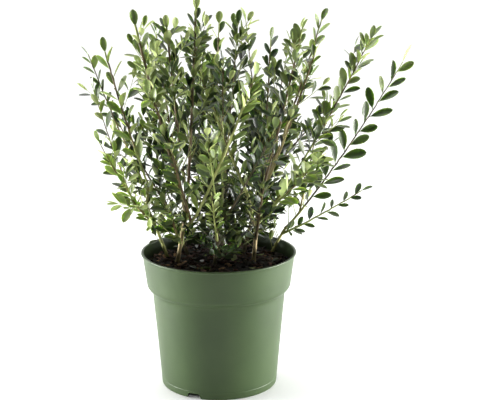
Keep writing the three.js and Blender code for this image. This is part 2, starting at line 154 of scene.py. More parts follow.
# How leaves turn: angles in degrees, and weights of the directions that they face
LEAF_ANGLE = 42
NEAR_TIP_ANGLE = 26
END_LEAF_ANGLE = 12
LEAF_SKY_SHARE = 0.6
ROW_FACE = Record(along=0.4, up=0.45)
REGION_ROWS = {"front": 0.2, "left": 0.2, "right": 0.2, "back": 0}
ROW_TURN_SPREAD = {"neat": 14, "loose": 40}
LEAF_TILTS = (0.75, 1.25)
LEAF_ROLL_SPREAD = 16

# Leaf sizes and shape. Leaves of light sprays are larger
LEAF_TRIES = (1, 1, 0.8, 0.66)
LEAF_LENGTHS = {"leader": (25, 20), "twig": (22.5, 17.5)}
LEAF_SIZES = (0.78, 1.14)
END_LEAF_SIZES = (0.8, 1.05)
LIGHT_GROWTH = Record(least=0.92, gain=0.16, limit=0.8)
LEAF_SHAPE = (
    (0, 0.06), (0.1, 0.08), (0.25, 0.5), (0.45, 0.88), (0.65, 1), (0.83, 0.82), (0.95, 0.46),
)
LEAF_COLUMNS = (-1, -0.5, 0, 0.5, 1)
LEAF_WIDTHS = (0.19, 0.245)
ROW_LEAF_WIDTHS = (0.165, 0.215)
LEAF_WIDEST = 0.6
LEAF_NEAR_ROOT = 0.25
LEAF_THICKNESS = 0.3
LEAF_EDGE_THINNING = 0.9
LEAF_END_THICKNESS = 3
LEAF_CUPS = (0.12, 0.42)
LEAF_BENDS = (-0.04, 0.13)

# Leaf tints by number, in the order of LEAF_TINTS, and the lightness at which each after the
# first starts. Sprays are painted darker low in the crown and near its axis, a painted shade, and
# lighter high in it, a painted light
INNER_PAINTED_SHADE, DEEP, MID, LIGHT, YOUNG = range(5)
TINT_STEPS = (-0.12, 0.22, 0.68, 1.12)
TINT_SPREAD = 0.28
SPRAY_TINT_SHARE = 0.8
YOUNG_FROM = 0.88
YOUNG_SHARE = 0.25
INNER_SHADE = 0.4
INNER_RADIUS = 62
CROWN_AXIS = Vector((0, 20, 0))
LOW_SHADE = 0.75
SHADE_HEIGHT = 180
SHADE_POINT = 0.6

# Twig tints by number, in the order of TWIG_TINTS, and where a leader changes its tint
GREEN, TAN, BROWN, DARK, FRESH = range(5)
MIXED_TINTS = (GREEN, BROWN, TAN)
STEM_TINT_TO = 0.85
GREEN_TO, TAN_TO, BROWN_TO = 0.3, 0.45, 0.93
GREEN_ABOVE = 0.6
DARK_BELOW = 0.3

# Habits: masses that differ from the rule, named without foliage_:
# leaf and spacing give leaf length at the leader's foot and tip, and the space between leaves;
# twigs is the chance that a twig of the solids grows, bare the share of the leader without twigs
# and leaves, and thin_from the share from which no twig grows;
# clean is the share without leaves, lean the leaf angle, rows how far leaves that stand in two
# rows face the front, and fade the share from which they are one tint darker, a painted shade where the side
# light falls strongest;
# stem is the leader's tint up to stem_to, and taper and girth change its thickness.
FRONT_SHOOT = dict(leaf=(23, 19), spacing=6.2, twigs=0.5, rows=0.35)
LIGHT_SHOOT = dict(twigs=0.15, rows=0.3, stem=FRESH)
HABITS = dict(
    front_left=dict(LIGHT_SHOOT, leaf=(23, 20), spacing=6.4, stem_to=0.9, taper=0.35, lean=38, girth=1.12,
                    fade=0.42),
    crossing=dict(LIGHT_SHOOT, leaf=(20, 20), spacing=7, twigs=0.4, taper=0.25, girth=1.15, fade=0.55),
    low_front=dict(LIGHT_SHOOT, leaf=(17, 18), spacing=6.6, twigs=0.1, clean=0.1, lean=30),
    front=dict(leaf=(24, 19), spacing=5.6, twigs=0.3, rows=0.4, stem=GREEN, clean=0.5),
    centre_front=dict(FRONT_SHOOT, spacing=6.4, stem=GREEN, stem_to=0.6),
    front_right=dict(FRONT_SHOOT, stem=DARK),
    front_far_left=dict(FRONT_SHOOT, stem=BROWN),
    right=dict(leaf=(24, 22), spacing=5.4, twigs=0.5, stem=GREEN, stem_to=0.45, clean=0),
    far_right=dict(leaf=(29, 28), spacing=10.4, twigs=0, rows=0.7, stem=DARK, clean=0),
    far_right_back=dict(leaf=(24, 19), spacing=9.5, twigs=0.2),
    low_right=dict(leaf=(15, 18), spacing=8.6, twigs=0.3, rows=0.7, stem=GREEN, clean=0),
    far_left=dict(leaf=(24, 21), spacing=9, twigs=0.5, bare=0.15, taper=0.3),
    far_left_top=dict(leaf=(20, 17), spacing=7.5, twigs=0.5, bare=0.55),
    far_left_low=dict(leaf=(24, 19), spacing=9, twigs=0.25),
    low_left=dict(leaf=(21, 19), spacing=8.5, twigs=0.4),
    low_front_left=dict(leaf=(18, 14)),
    left_leader=dict(clean=0.62, stem=BROWN, taper=0.25, thin_from=0.8),
    left_crossing=dict(clean=0.5, stem=BROWN, taper=0.4),
    left_outer=dict(clean=0.45, stem=BROWN, taper=0.3),
    right_leader=dict(clean=0.55, stem=BROWN, taper=0.4),
    right_top=dict(clean=0.5, leaf=(24, 20), spacing=7, twigs=0.3),
    right_front=dict(leaf=(20, 17), spacing=8.5, twigs=0.25, clean=0.6),
    far_back_right=dict(thin_from=0.55),
    right_back=dict(thin_from=0.5),
    back_middle=dict(thin_from=0.45),
    back_centre=dict(thin_from=0.7),
    back_right=dict(thin_from=0.45),
)

# Shoots and boughs that show from in front: other leaves keep out of the way before them, up to
# a share of their length, and within so many millimetres on each side
SIGHT = np.array((0, -0.968, 0.251))
SIGHT_STEPS = 40
SIGHT_START = 2
SHOWN = {
    "foliage_front_left": (0.75, 4), "foliage_crossing": (0.6, 3.5), "foliage_left_leader": (0.5, 3),
    "foliage_right_leader": (0.5, 3), "bough_front_left": (1, 4), "bough_crossing": (1, 3.5),
    "foliage_low_front": (0.7, 3),
}

# Leaves low on the limbs. Some stems hide in leaves nearly down to the potting mix
BARE_LIMBS = {"stem": 0.3, "bough": 0.1}
LOW_LEAVES_FROM = {"stem_centre": 0.12, "stem_back": 0.12, "stem_back_right": 0.16, "stem_inner_left": 0.16}
LOW_LEAF_SPACING = {
    "stem_centre": 2, "stem_back": 1.6, "stem_back_right": 1.8, "stem_inner_left": 2.6,
    "bough_centre": 1.8, "bough_back": 1.6, "bough_back_right": 1.4,
}
LOW_TWIGS = Record(angle=(42, 62), reach=(12, 38), rise=0.2, radius=0.55, gap=0.2, probe=0.6)
LOW_LEAVES = Record(places=((0.4, 46), (0.6, 46), (0.8, 46), (0.98, 12)), length=(13, 18))
# Limbs hidden in the crown take darker leaf tints, a painted shade
LOW_LEAF_TINTS = {"hidden": (INNER_PAINTED_SHADE, DEEP, DEEP), "open": (DEEP, MID, MID, LIGHT)}

# Tubes and bark
LEADER_TUBE = Record(least_steps=8, step=5, sides=7, tip=0.42, wander=0.35)
TWIG_TUBE = Record(least_steps=4, step=6, sides=5, tip=0.3, taper=0.55)
BARK_STEP = 1.6
BARK_SIDES = 14
BARK_WAVES = ((0.9, 0.16, 0.13), (2.2, 0.8, 0.1))
KNOTS = Record(height=0.32, apart=17, length=1.5, shift=90)
FORK_COLLAR = Record(height=0.9, length=3)

# Stems: foot on the soil, tip, radius at foot and tip, and bark tint; the grey tint on the stems inside the
# crown is partly their bark and partly painted shade
STEMS = (
    ("stem_left", (-52, -7), (-41, -14, 207), (2.8, 2.5), "tan"),
    ("stem_outer_left", (-61, 21), (-88, 10, 222), (2.2, 1.9), "green"),
    ("stem_inner_left", (-36, 34), (-74, 62, 229), (2.3, 1.7), "grey"),
    ("stem_centre", (-6, -14), (2, -24, 216), (2.2, 1.8), "grey"),
    ("stem_back", (2, 30), (-12, 58, 232), (2.5, 2.0), "grey"),
    ("stem_back_right", (30, 42), (52, 74, 226), (2.4, 1.9), "grey"),
    ("stem_right", (42, 2), (48, 0, 210), (2.8, 2.6), "tan"),
    ("stem_low_right", (62, 36), (84, 38, 186), (2.1, 1.8), "green"),
)

# Boughs: the limb that carries each, how far up it they leave, tip, radii and bark tint
BOUGHS = (
    ("bough_left_leader", "stem_left", 1, (-36, -18, 256), (2.5, 2.3), "dark"),
    ("bough_front_left", "stem_left", 0.84, (-26, -38, 222), (2.2, 2.0), "green"),
    ("bough_far_left", "stem_outer_left", 1, (-85, 4, 250), (1.8, 1.6), "green"),
    ("bough_low_left", "stem_outer_left", 0.82, (-102, -4, 226), (1.5, 1.3), "green"),
    ("bough_centre", "stem_centre", 1, (6, -20, 250), (1.7, 1.5), "green"),
    ("bough_back", "stem_back", 1, (-15, 76, 262), (1.8, 1.5), "dark"),
    ("bough_back_right", "stem_back_right", 1, (60, 90, 258), (1.7, 1.4), "dark"),
    ("bough_right_leader", "stem_right", 1, (56, -4, 256), (2.5, 2.2), "dark"),
    ("bough_right", "stem_right", 0.86, (76, -9, 240), (2.0, 1.7), "green"),
    ("bough_crossing", "stem_right", 0.7, (36, 17, 234), (2.2, 2.0), "green"),
    ("bough_low_right", "stem_low_right", 1, (108, 40, 214), (1.7, 1.5), "green"),
)

# Foliage masses, named without foliage_: the limb that carries each, how far up it they start,
# their leader's tip, their region of the crown, how light their sprays are and how full they are
# How light a mass is stands partly for its leaves' own tone and partly for painted shade and light: darker
# for masses at the back and inside the crown, lighter for front shoots that face the dim front
MASSES = (
    ("left_leader", "bough_left_leader", 1, (-25, -5, 462), "left", 0.6, 1.1),
    ("left_crossing", "bough_left_leader", 0.62, (-58, -44, 444), "left", 0.8, 0.9),
    ("left_outer", "bough_left_leader", 0.4, (-93, -60, 449), "left", 1, 0.5),
    ("left_upper", "bough_left_leader", 0.24, (-74, 34, 428), "left", 0.6, 0.5),
    ("front_left", "bough_front_left", 1, (42, -88, 396), "front", 1.75, 0.2),
    ("front_far_left", "bough_front_left", 0.6, (-58, -132, 348), "front", 0.5, 0.4),
    ("far_left", "bough_far_left", 1, (-131, -22, 414), "left", 0.85, 0),
    ("far_left_top", "bough_far_left", 0.7, (-158, 54, 402), "left", 0.7, 0),
    ("far_left_low", "bough_low_left", 1, (-150, 22, 363), "left", 1, 0.1),
    ("low_left", "bough_low_left", 0.6, (-139, -40, 311), "left", 1.8, 0.2),
    ("low_front_left", "stem_outer_left", 0.66, (-102, -64, 250), "left", 1.8, 0.6),
    ("inner_left", "stem_inner_left", 1, (-86, 108, 384), "back", 0.1, 2.4),
    ("low_back_left", "stem_inner_left", 0.8, (-128, 112, 308), "back", 0.15, 1.5),
    ("centre", "bough_centre", 1, (24, -8, 446), "front", 0.55, 1.2),
    ("centre_front", "bough_centre", 0.6, (6, -72, 410), "front", 0.35, 0.6),
    ("front", "stem_centre", 0.9, (-12, -136, 336), "front", 0.75, 0.3),
    ("front_right", "stem_centre", 0.8, (62, -138, 344), "front", 0.15, 0.5),
    ("low_front", "stem_centre", 0.56, (-8, -92, 262), "front", 1.75, 0.2),
    ("low_front_right", "stem_right", 0.56, (52, -84, 270), "front", 0.15, 1.2),
    ("back", "bough_back", 1, (-26, 114, 420), "back", 0, 2.4),
    ("back_left", "bough_back", 0.7, (-82, 152, 374), "back", 0.15, 0.5),
    ("low_back", "bough_back", 0.4, (-22, 168, 334), "back", 0.15, 2.8),
    ("back_centre", "stem_back", 0.86, (2, 54, 440), "back", 0.45, 2.8),
    ("back_right", "bough_back_right", 1, (91, 120, 408), "back", 0.15, 1.6),
    ("back_middle", "bough_back_right", 0.7, (36, 120, 436), "back", 0.4, 2.4),
    ("far_back_right", "bough_back_right", 0.4, (152, 128, 340), "back", 0.15, 0.9),
    ("right_leader", "bough_right_leader", 1, (99, -8, 438), "right", 0.5, 1.2),
    ("right_top", "bough_right_leader", 0.78, (125, 28, 446), "right", 0.35, 0),
    ("right_front", "bough_right_leader", 0.7, (113, -60, 424), "right", 0.45, 0),
    ("right_back", "bough_right_leader", 0.5, (66, 74, 418), "right", 0.3, 2.4),
    ("right", "bough_right", 1, (178, -28, 430), "right", 0.6, 0.4),
    ("low_right_front", "bough_right", 0.6, (115, -72, 296), "right", 1.2, 0.5),
    ("crossing", "bough_crossing", 1, (-22, 34, 384), "left", 1.9, 0.3),
    ("far_right", "bough_low_right", 1, (226, 42, 393), "right", 0.8, 0),
    ("far_right_back", "bough_low_right", 0.7, (128, 78, 322), "right", 0.32, 0),
    ("low_right", "stem_low_right", 0.8, (174, 0, 242), "right", 0.8, 0),
    ("low_centre", "stem_back", 0.55, (20, 34, 236), "front", 0.3, 3.2),
    ("low_back_right", "stem_back_right", 0.5, (84, 72, 226), "back", 0.2, 2.2),
    ("low_inner", "stem_left", 0.56, (-58, -62, 236), "front", 1.1, 1.3),
)


# Materials, with colours given as red, green and blue out of 255

def srgb(red, green, blue):
    def linear(value):
        value /= 255
        return value / 12.92 if value <= 0.04045 else ((value + 0.055) / 1.055) ** 2.4
    return (linear(red), linear(green), linear(blue), 1)


def scaled(colour, factor):
    return (*(min(1, part * factor) for part in colour[:3]), 1)


def give(tree, socket, value):
    """Link a socket to another node's output, or set it to a value."""
    if isinstance(value, bpy.types.NodeSocket):
        tree.links.new(value, socket)
    else:
        socket.default_value = value


def set_node(tree, node, **sockets):
    """Give a node's sockets, whose names have _ for a space, and return its outputs."""
    for name, value in sockets.items():
        give(tree, node.inputs[name.replace("_", " ")], value)
    return node.outputs


def add_node(tree, kind, **sockets):
    return set_node(tree, tree.nodes.new(f"ShaderNode{kind}"), **sockets)


# Which part of the noise's range the colours share
RAMP_START, RAMP_LENGTH = 0.3, 0.4


def surface(name, colours, scale, roughness, bump, bump_scale, stretch=(1, 1, 1), depth=0.0002, detail=4,
            **sockets):
    """A surface whose colour wanders between the given ones, with a fine relief."""
    material = bpy.data.materials.new(name)
    material.use_nodes = True
    tree = material.node_tree
    place = add_node(tree, "TexCoord")["Object"]
    place = add_node(tree, "Mapping", Vector=place, Scale=stretch)["Vector"]
    cloud = add_node(tree, "TexNoise", Vector=place, Scale=scale, Detail=detail)["Fac"]
    ramp = tree.nodes.new("ShaderNodeValToRGB")
    stops = ramp.color_ramp.elements
    while len(stops) < len(colours):
        stops.new(0.5)
    for index, colour in enumerate(colours):
        stops[index].position = RAMP_START + RAMP_LENGTH * index / (len(colours) - 1)
        stops[index].color = colour
    colour = set_node(tree, ramp, Fac=cloud)["Color"]
    grain = add_node(tree, "TexNoise", Vector=place, Scale=bump_scale, Detail=detail)["Fac"]
    relief = add_node(tree, "Bump", Height=grain, Strength=bump, Distance=depth)["Normal"]
    set_node(tree, tree.nodes["Principled BSDF"], Base_Color=colour, Normal=relief, Roughness=roughness,
             **sockets)
    return material


# Upper and under side of each leaf tint. The inner tint is a painted shade: a near-black green for leaves
# deep in the crown, where the crown shades them
LEAF_TINTS = {
    "inner": ((22, 31, 18), (50, 58, 35)),
    "deep": ((36, 49, 27), (84, 93, 56)),
    "mid": ((55, 67, 36), (114, 122, 76)),
    "light": ((96, 107, 64), (144, 152, 102)),
    # fresh is the young leaves' light green, and also painted light for front shoots that face the dim front
    "fresh": ((136, 149, 93), (158, 168, 118)),
}
LEAF_GLOW = dict(Subsurface_Weight=0.25, Subsurface_Scale=0.001, Subsurface_Radius=(0.7, 1, 0.25))

# Shades of each tint, and how the side takes light
LEAF_SIDES = {
    "upper": ((0.78, 1, 1.25), dict(bump=0.25, bump_scale=700, roughness=0.36, Specular_IOR_Level=0.55)),
    "under": ((0.84, 1, 1.15), dict(bump=0.3, bump_scale=800, roughness=0.55, Specular_IOR_Level=0.4)),
}


def leaf_materials():
    return [
        surface(f"leaf_{name}_{side}", [scaled(srgb(*tint), shade) for shade in shades], scale=110,
                **looks, **LEAF_GLOW)
        for name, tints in LEAF_TINTS.items()
        for tint, (side, (shades, looks)) in zip(tints, LEAF_SIDES.items())
    ]


# Twig tints. fresh is the young shoots' light green, and also painted light for shoots that stand in the
# crown's shade
TWIG_TINTS = {
    "green": ((122, 132, 74), (150, 158, 96)),
    "tan": ((116, 108, 68), (146, 136, 90)),
    "brown": ((70, 58, 38), (104, 86, 56)),
    "dark": ((54, 48, 34), (84, 74, 50)),
    "fresh": ((144, 152, 88), (176, 180, 118)),
}

BARK_TINTS = {
    "tan": ((98, 86, 58), (136, 122, 86), (162, 148, 112)),
    "green": ((98, 100, 58), (134, 136, 84), (154, 154, 102)),
    "grey": ((74, 68, 50), (108, 100, 74), (134, 124, 94)),
    "dark": ((58, 52, 38), (86, 78, 56), (112, 102, 76)),
}
BARK_NAMES = tuple(BARK_TINTS)

CHIP_TINTS = {
    "dark": ((24, 18, 15), (40, 30, 25)),
    "red": ((62, 40, 33), (92, 60, 50)),
    "brown": ((46, 33, 27), (70, 52, 41)),
    "tan": ((112, 86, 62), (150, 120, 88)),
}


def tinted(kind, tints, **looks):
    return [surface(f"{kind}_{name}", [srgb(*shade) for shade in shades], **looks)
            for name, shades in tints.items()]


def twig_materials():
    return tinted("twig", TWIG_TINTS, scale=160, stretch=(1, 1, 0.3), roughness=0.6, bump=0.4, bump_scale=900)


def bark_materials():
    return tinted("bark", BARK_TINTS, scale=220, stretch=(1, 1, 0.22), roughness=0.78, bump=0.7,
                  bump_scale=620, depth=0.0006, detail=8)


def chip_materials():
    return tinted("chip", CHIP_TINTS, scale=240, roughness=0.88, bump=0.8, bump_scale=700,
                  depth=0.0006, detail=6)


# Meshes

def add_object(name, data):
    thing = bpy.data.objects.new(name, data)
    bpy.context.scene.collection.objects.link(thing)
    return thing


def mesh_of(name, points, faces):
    mesh = bpy.data.meshes.new(name)
    mesh.from_pydata([tuple(MM * part for part in point) for point in points], [], faces)
    mesh.update()
    return mesh


def around(sides, radius=1):
    angles = [tau * side / sides for side in range(sides)]
    return [(radius * cos(angle), radius * sin(angle)) for angle in angles]


def ring_faces(rings, sides):
    """Faces between rings of points that follow each other."""
    faces = []
    for low in range(0, (rings - 1) * sides, sides):
        for side in range(sides):
            after = (side + 1) % sides
            faces.append((low + side, low + after, low + sides + after, low + sides + side))
    return faces


class Shape:
    """Points, faces and the material of each face, gathered for one piece."""

    def __init__(self):
        self.points = []
        self.faces = []
        self.tints = []

    def add(self, points, faces, tints):
        base = len(self.points)
        self.points.extend(points)
        self.faces.extend(tuple(base + corner for corner in face) for face in faces)
        self.tints.extend(tints)

    def piece(self, name, materials, replaced=()):
        mesh = mesh_of(name, self.points, self.faces)
        mesh.polygons.foreach_set("use_smooth", [True] * len(self.faces))
        for material in materials:
            mesh.materials.append(material)
        mesh.polygons.foreach_set("material_index", self.tints)
        thing = add_object(name, mesh)
        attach(thing, "root")
        if replaced:
            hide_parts(*replaced)


def tube(points, radii, sides, steady, tint_at, relief=None):
    """A closed tube along points; relief gives a change of radius at a point."""
    made = []
    last = len(points) - 1
    for ring, point in enumerate(points):
        along = (points[min(ring + 1, last)] - points[max(ring - 1, 0)]).normalized()
        across = along.cross(steady).normalized()
        other = along.cross(across)
        for x, y in around(sides):
            out = across * x + other * y
            radius = radii[ring]
            if relief:
                radius += relief(point + out * radius)
            made.append(point + out * radius)
    faces = ring_faces(last + 1, sides)
    tints = [tint_at(ring / last) for ring in range(last) for side in range(sides)]
    made.extend([points[0], points[last] + (points[last] - points[last - 1]).normalized() * radii[last]])
    foot, tip = len(made) - 2, len(made) - 1
    for side in range(sides):
        after = (side + 1) % sides
        faces.append((foot, after, side))
        faces.append((tip, last * sides + side, last * sides + after))
        tints.extend([tint_at(0), tint_at(1)])
    return made, faces, tints


# Paths

def bezier(start, middle, tip, share):
    return start * (1 - share) ** 2 + middle * (2 * share * (1 - share)) + tip * share ** 2


class Path:
    """A curve from a start past a middle point to a tip."""

    def __init__(self, start, middle, tip, steady):
        self.start, self.middle, self.tip = start, middle, tip
        self.steady = steady.normalized()
        self.length = sum((after - before).length for before, after in pairwise(self.points(LENGTH_STEPS)))

    def at(self, share):
        return bezier(self.start, self.middle, self.tip, share)

    def points(self, steps):
        return [self.at(step / steps) for step in range(steps + 1)]

    def direction(self, share):
        return ((self.middle - self.start) * (1 - share) + (self.tip - self.middle) * share).normalized()


def sweep(start, tip, sweep_shares):
    outward, upward = sweep_shares
    span = tip - start
    middle = start + Vector((span.x * outward, span.y * outward, span.z * upward))
    return Path(start, middle, tip, (middle - start).cross(span))


def start_on(parent, at):
    point = parent.path.at(at)
    if at == 1:
        point -= parent.path.direction(1) * TIP_OVERLAP
    return point


def leaning(path, share, turn, lean):
    along = path.direction(share)
    across = along.cross(path.steady).normalized()
    outward = across * cos(turn) + path.steady * sin(turn)
    return along * cos(lean) + outward * sin(lean)


def make_limbs():
    limbs = {}
    for name, foot, tip, radii, tint in STEMS:
        start = Vector((*foot, SOIL_LEVEL - FLARE_HEIGHT))
        limbs[name] = Record(path=sweep(start, Vector(tip), STEM_SWEEP), radii=radii, tint=tint,
                             steps=STEM_STEPS, flare=ROOT_FLARE)
    for name, parent, at, tip, radii, tint in BOUGHS:
        start = start_on(limbs[parent], at)
        limbs[name] = Record(path=sweep(start, Vector(tip), LIMB_SWEEP), radii=radii, tint=tint,
                             steps=BOUGH_STEPS, flare=0)
    return limbs


def limb_radius(limb, share):
    foot, tip = (SLIMNESS * radius for radius in limb.radii)
    flare = limb.flare * exp(1 - share * limb.path.length / FLARE_HEIGHT)
    return foot + (tip - foot) * share + flare


# Space: straight stretches of all leaders and limbs, as arrays

class Space:
    def __init__(self, masses, limbs):
        lines = [(mass.path, LEADER_STEPS, mass.index, 0) for mass in masses]
        lines += [(limb.path, limb.steps, -1, limb_radius(limb, 1)) for limb in limbs.values()]
        starts, ends, owners, clear = zip(*(
            (start, end, owner, clear_of) for path, steps, owner, clear_of in lines
            for start, end in pairwise(path.points(steps))
        ))
        self.starts = np.array(starts)
        self.spans = np.array(ends) - self.starts
        self.squares = (self.spans ** 2).sum(1)
        self.owners = np.array(owners)
        self.clear = np.array(clear)
        named = {mass.name: (mass.path, mass.index) for mass in masses}
        named.update({name: (limb.path, -1) for name, limb in limbs.items()})
        self.shown = []
        for name, (up_to, width) in SHOWN.items():
            path, index = named[name]
            line = [path.at(up_to * step / SIGHT_STEPS) for step in range(SIGHT_STEPS + 1)]
            self.shown.append((index, width, np.array(line)))

    def hides(self, points, index):
        """Whether a point lies in front of a shoot that shows."""
        for owner, width, line in self.shown:
            apart = points[:, None] - line[None]
            ahead = apart @ SIGHT
            aside = np.linalg.norm(apart - ahead[..., None] * SIGHT, axis=2)
            if owner != index and ((aside < width) & (ahead > SIGHT_START)).any():
                return True
        return False

    def fits(self, points, index, margin, limb_margin):
        """Whether points keep clear of limbs and pot, and lie nearest to their own leader."""
        points = np.array(points)
        low = points[points[:, 2] < LOWEST_LEAF]
        inside = np.hypot(low[:, 0], low[:, 1]) < INSIDE_RIM
        if not (inside & (low[:, 2] > LOWEST_INSIDE_RIM)).all():
            return False
        apart = points[:, None, :] - self.starts[None]
        share = np.clip((apart * self.spans).sum(2) / self.squares, 0, 1)
        distance = np.linalg.norm(apart - share[..., None] * self.spans, axis=2)
        limbs = self.owners < 0
        if (distance[:, limbs] < self.clear[limbs] + limb_margin).any():
            return False
        if index < 0:
            return True
        own = distance[:, self.owners == index].min(1)
        others = distance[:, (self.owners != index) & ~limbs].min(1)
        return bool((others > own + margin).all())


# Growth

def seeded(seed):
    """The same draws between 0 and 1 as in the solids."""
    state = seed * SEED_GAP + FIRST_SEED

    def step():
        nonlocal state
        state = state * MULTIPLIER % MODULUS
        return state / MODULUS
    step()
    step()
    return step


def between(limits, draw):
    return limits[0] + (limits[1] - limits[0]) * draw()


def start_masses(limbs):
    masses = []
    for index, (name, parent, at, tip, region, lightness, fullness) in enumerate(MASSES):
        limb = limbs[parent]
        masses.append(Record(
            name=f"foliage_{name}", index=index, region=region, lightness=lightness, fullness=fullness,
            path=sweep(start_on(limb, at), Vector(tip), LIMB_SWEEP),
            radius=limb_radius(limb, at) * LEADER_SHARE, habit=HABITS.get(name, {}),
            random=seeded(index + 1), turn=0, twigs=[], tips=[],
        ))
    return masses


def leader_radius(mass, share):
    return mass.radius * (1 - LEADER_TAPER * share)


def grow_twig(mass, carrier, share, reach, angle, radius, space, draw):
    """A twig that leans away from its carrier and is lifted to the light, if there is space for it."""
    mass.turn += GOLDEN_ANGLE
    direction = leaning(carrier, share, radians(mass.turn), radians(angle))
    start = carrier.at(share)
    for part in TWIG_PARTS:
        tip = start + direction * reach * part + UP * (reach * part * TWIG_RISE)
        middle = start.lerp(tip, 0.5)
        if space.fits([middle, tip], mass.index, SPACE_MARGIN, SPACE_MARGIN):
            bend = middle + direction * (TWIG_BOW * reach) - UP * (TWIG_SAG * reach * draw())
            steady = (tip - start).cross(carrier.direction(share))
            twig_path = Path(start, bend, tip, steady)
            mass.twigs.append(Record(path=twig_path, radius=radius, kind="twig", share=share))
            return


def grow_twigs(mass, space):
    """First the twigs of the solids, by the same draws, and then finer ones between and on them."""
    path, draw = mass.path, mass.random
    count = round(path.length / TWIG_SPACING)
    for twig in range(count):
        step = (twig + TWIG_START_SPREAD * draw()) / count
        share = FIRST_TWIG_SHARE + LAST_TWIG_SHARE * step
        reach = TWIG_LENGTH * (1 - TWIG_TIP_SHARE * share) * between(TWIG_REACH_RANGE, draw)
        radius = leader_radius(mass, share) * TWIG_SHARE
        grow_twig(mass, path, share, reach, TWIG_ANGLE, radius, space, lambda: 0.5)
    fine = random.Random(mass.index + SEEDS.fine_twigs)
    habit, fullness = mass.habit, mass.fullness
    kept, bare = habit.get("twigs", KEPT_TWIGS + fullness), habit.get("bare", 0)
    thin_from = habit.get("thin_from", 1)
    mass.twigs = [twig for twig in mass.twigs if bare < twig.share < thin_from and fine.random() < kept]
    first_order = list(mass.twigs)
    spacing = FINE_TWIGS.spacing
    for step in range(round(fullness * path.length / spacing)):
        share = FINE_TWIGS.first + (step + fine.random()) * spacing / path.length / fullness
        share = min(FINE_TWIGS.last, share) * thin_from
        reach = TWIG_LENGTH * (1 - TWIG_TIP_SHARE * share) * fine.uniform(*FINE_TWIGS.reach)
        radius = leader_radius(mass, share) * TWIG_SHARE * FINE_TWIGS.girth
        grow_twig(mass, path, share, reach, fine.uniform(*FINE_TWIGS.angle), radius, space, fine.random)
    for twig in first_order:
        for share in SIDE_TWIGS.shares:
            if fine.random() > fullness:
                continue
            longest = twig.path.length * (1 - share * SIDE_TWIGS.taper)
            reach = longest * fine.uniform(*SIDE_TWIGS.reach)
            if reach > SIDE_TWIGS.shortest:
                radius = twig.radius * SIDE_TWIGS.girth
                grow_twig(mass, twig.path, share, reach, fine.uniform(*SIDE_TWIGS.angle), radius,
                          space, fine.random)


def rolled(first, second, roll):
    return first * cos(roll) + second * sin(roll), second * cos(roll) - first * sin(roll)


def leaf_on(path, share, turn, lean, length, roll, rows):
    """A leaf faces the tip and the sky, or, where the leaves stand in two rows, the light in front."""
    root, along = path.at(share), path.direction(share)
    if rows:
        across = along.cross(FRONT).normalized()
        outward = across * cos(turn) + across.cross(along) * sin(turn)
        heading = along * cos(lean) + outward * sin(lean)
        face = along * ROW_FACE.along + UP * ROW_FACE.up + FRONT * rows
    else:
        heading = leaning(path, share, turn, lean)
        face = along + UP * LEAF_SKY_SHARE
    face = (face - heading * face.dot(heading)).normalized()
    face, side = rolled(face, heading.cross(face), roll)
    return Record(root=root, heading=heading, face=face, side=side, length=length)


def grow_leaf(mass, path, share, lean, length, tint, space, draw, leaves, rows=0, neat=False):
    """A leaf that keeps clear of its neighbours, smaller or turned on if there is no space for it."""
    width = length * draw.uniform(*(ROW_LEAF_WIDTHS if neat else LEAF_WIDTHS))
    turn_spread = ROW_TURN_SPREAD["neat" if neat else "loose"]
    margin = SHOWN_SPACE_MARGIN if mass.name in SHOWN else OWN_SPACE_MARGIN
    if rows:
        mass.turn += 180
    for part in LEAF_TRIES:
        if not rows:
            mass.turn += GOLDEN_ANGLE
        turn = radians(mass.turn + (draw.gauss(0, turn_spread) if rows else 0))
        tilt = radians(lean * draw.uniform(*LEAF_TILTS))
        roll = radians(draw.gauss(0, LEAF_ROLL_SPREAD))
        leaf = leaf_on(path, share, turn, tilt, length * part, roll, rows)
        leaf.width = width * part
        near_root, middle, tip = (leaf.root + leaf.heading * (along * leaf.length)
                                  for along in (LEAF_NEAR_ROOT, LEAF_WIDEST, 1))
        edges = [tip, middle + leaf.side * leaf.width, middle - leaf.side * leaf.width]
        marks = np.array([middle, tip])
        if mass.tips:
            others = np.array(mass.tips)
            if np.linalg.norm(marks[:, None] - others[None], axis=2).min() < LEAF_APART:
                continue
        if not space.fits(edges, mass.index, margin, LIMB_MARGIN):
            continue
        if space.hides(np.array([near_root, *edges]), mass.index):
            continue
        mass.tips.extend([middle, tip])
        leaf.tint, leaf.cup, leaf.bend = tint, draw.uniform(*LEAF_CUPS), draw.uniform(*LEAF_BENDS)
        leaves.append(leaf)
        return


def spray_tint(lightness, draw):
    value = lightness + draw.gauss(0, TINT_SPREAD)
    return sum(value > step for step in TINT_STEPS)


# Painted shade of a spray: more of it low in the crown and near its axis, and below zero, a painted light,
# high in the crown
def shade_at(point):
    from_axis = point - CROWN_AXIS
    inner = INNER_SHADE if hypot(from_axis.x, from_axis.y) < INNER_RADIUS else 0
    return LOW_SHADE * (1 - (point.z - POT_HEIGHT) / SHADE_HEIGHT) + inner


def first_leaf(mass, kind, path, habit):
    """The share of a shoot below its first leaf; long dark leaders are clean low down."""
    hidden = kind != "leader" or path.length < LONG_LEADER or mass.region == "back"
    clean = 0 if hidden or mass.lightness > CLEAN_UP_TO else CLEAN_SHARE
    return max(BARE_FOOT / path.length, habit.get("bare", 0), habit.get("clean", clean))


